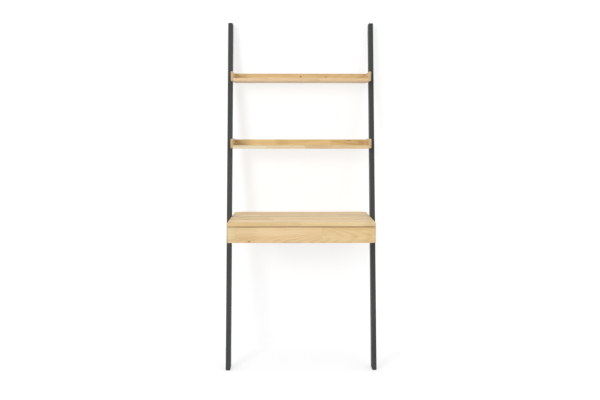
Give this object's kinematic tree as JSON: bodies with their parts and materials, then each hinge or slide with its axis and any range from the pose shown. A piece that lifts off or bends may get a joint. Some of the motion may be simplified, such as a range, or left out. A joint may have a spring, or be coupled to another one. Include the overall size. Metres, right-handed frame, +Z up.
{
  "type": "ladder desk",
  "caption": "Desk that leans on a wall: dark leaning rails carry narrow tray shelves and a wooden desk with a full-width sliding drawer.",
  "frame": {"origin": "on the floor, at the middle of the footprint's box, between the desk's front edge and the wall", "axes": "+X to the right as seen by the person at the desk, +Y towards the wall, +Z up"},
  "size_m": [0.729, 0.4544, 1.69],
  "materials": {
    "rail_paint": "satin dark grey paint on solid wood",
    "shelf_oak": "satin clear lacquer, finger-jointed staves",
    "desk_oak": "satin clear lacquer, finger-jointed staves",
    "drawer_oak": "satin clear lacquer, finger-jointed staves",
    "drawer_birch": "smooth clear lacquer on pale plywood",
    "dowel_beech": "plain beech",
    "runner_zinc": "bright zinc plating",
    "insert_zinc": "yellow zinc plating",
    "bolt_black": "black oxide",
    "pad_rubber": "matte black rubber",
    "bumper": "soft pale bumper"
  },
  "bodies": {
    "frame": {"rail_left": "rail_paint", "rail_right": "rail_paint", "floor_pad_left": "pad_rubber", "floor_pad_right": "pad_rubber", "wall_pad_left": "pad_rubber", "wall_pad_right": "pad_rubber", "top_shelf_board": "shelf_oak", "top_shelf_back": "shelf_oak", "wall_spacer": "shelf_oak", "top_shelf_cheek_left": "shelf_oak", "top_shelf_cheek_right": "shelf_oak", "lower_shelf_board": "shelf_oak", "lower_shelf_back": "shelf_oak", "lower_shelf_cheek_left": "shelf_oak", "lower_shelf_cheek_right": "shelf_oak", "desk_top": "desk_oak", "desk_side_left": "desk_oak", "desk_side_right": "desk_oak", "desk_back": "desk_oak", "runner_cabinet_left": "runner_zinc", "runner_cabinet_right": "runner_zinc", "rail_bolts": "bolt_black", "threaded_inserts": "insert_zinc", "shelf_dowels": "dowel_beech", "desk_dowels": "dowel_beech", "cabinet_runner_screws": "runner_zinc"},
    "drawer": {"drawer_front": "drawer_oak", "drawer_box_front": "drawer_birch", "drawer_side_left": "drawer_birch", "drawer_side_right": "drawer_birch", "drawer_back": "drawer_birch", "drawer_bottom": "drawer_birch", "runner_drawer_left": "runner_zinc", "runner_drawer_right": "runner_zinc", "drawer_dowels": "dowel_beech", "drawer_front_screws": "runner_zinc", "drawer_bottom_screws": "runner_zinc", "drawer_runner_screws": "runner_zinc", "drawer_bumpers": "bumper"},
    "cage_left": {"ball_cage_left": "runner_zinc", "runner_balls_left": "runner_zinc"},
    "cage_right": {"ball_cage_right": "runner_zinc", "runner_balls_right": "runner_zinc"}
  },
  "joints": [
    {"name": "drawer_slide", "type": "slide", "parent": "frame", "child": "drawer", "axis": [0, -1, 0], "range_m": [0, 0.25]},
    {"name": "cage_left_slide", "type": "slide", "parent": "frame", "child": "cage_left", "axis": [0, -1, 0], "range_m": [0, 0.125]},
    {"name": "cage_right_slide", "type": "slide", "parent": "frame", "child": "cage_right", "axis": [0, -1, 0], "range_m": [0, 0.125]}
  ],
  "couplings": [
    {"joint": "cage_left_slide", "follows": "drawer_slide", "ratio": 0.5},
    {"joint": "cage_right_slide", "follows": "drawer_slide", "ratio": 0.5}
  ]
}
